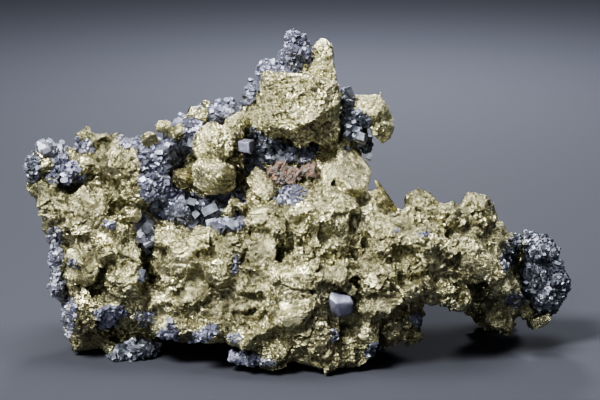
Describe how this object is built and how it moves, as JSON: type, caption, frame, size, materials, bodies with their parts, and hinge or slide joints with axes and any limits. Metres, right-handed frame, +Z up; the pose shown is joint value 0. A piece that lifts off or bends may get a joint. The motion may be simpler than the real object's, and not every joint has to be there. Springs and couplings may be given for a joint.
{
  "type": "chalcopyrite mineral specimen",
  "caption": "Free-standing cabinet specimen of brassy chalcopyrite crystals grown into one rough mass, with lead-grey galena crusts and cubes and a little carbonate.",
  "frame": {"origin": "middle of the specimen's box, at floor level", "axes": "+X along the length, to the right as seen from the front; -Y towards the viewer of the front; +Z up"},
  "size_m": [0.2001, 0.0864, 0.1182],
  "materials": {
    "chalcopyrite": "metallic brass-yellow, rough and pitted, with satin facets",
    "fresh_chalcopyrite": "metallic pale yellow, smooth fresh faces",
    "tarnished_chalcopyrite": "metallic olive-brown tarnish",
    "galena": "metallic lead-grey with a bluish sheen",
    "dark_galena": "metallic dark steel grey, sparkling",
    "carbonate": "dull orange-pink crust"
  },
  "bodies": {
    "root": {"chalcopyrite_mass": "chalcopyrite", "summit_crystal": "chalcopyrite", "peak_crystal": "chalcopyrite", "right_knob_crystal": "chalcopyrite", "stacked_crystal_pair": "chalcopyrite", "small_crystal_by_pair": "tarnished_chalcopyrite", "pointed_crystal": "chalcopyrite", "cleaved_crystal": "fresh_chalcopyrite", "pale_crystal": "fresh_chalcopyrite", "long_blade": "tarnished_chalcopyrite", "short_blade": "tarnished_chalcopyrite", "end_flake": "chalcopyrite", "galena_cube": "galena", "perched_galena_crystal": "galena", "galena_slope_crust": "galena", "galena_summit_cluster": "galena", "galena_right_cluster": "galena", "galena_end_druse": "dark_galena", "galena_left_rim": "galena", "galena_left_patch": "galena", "galena_left_column": "galena", "galena_left_foot": "dark_galena", "galena_foot_fringe": "galena", "galena_foot_knob": "dark_galena", "carbonate_crust": "carbonate"}
  },
  "joints": []
}
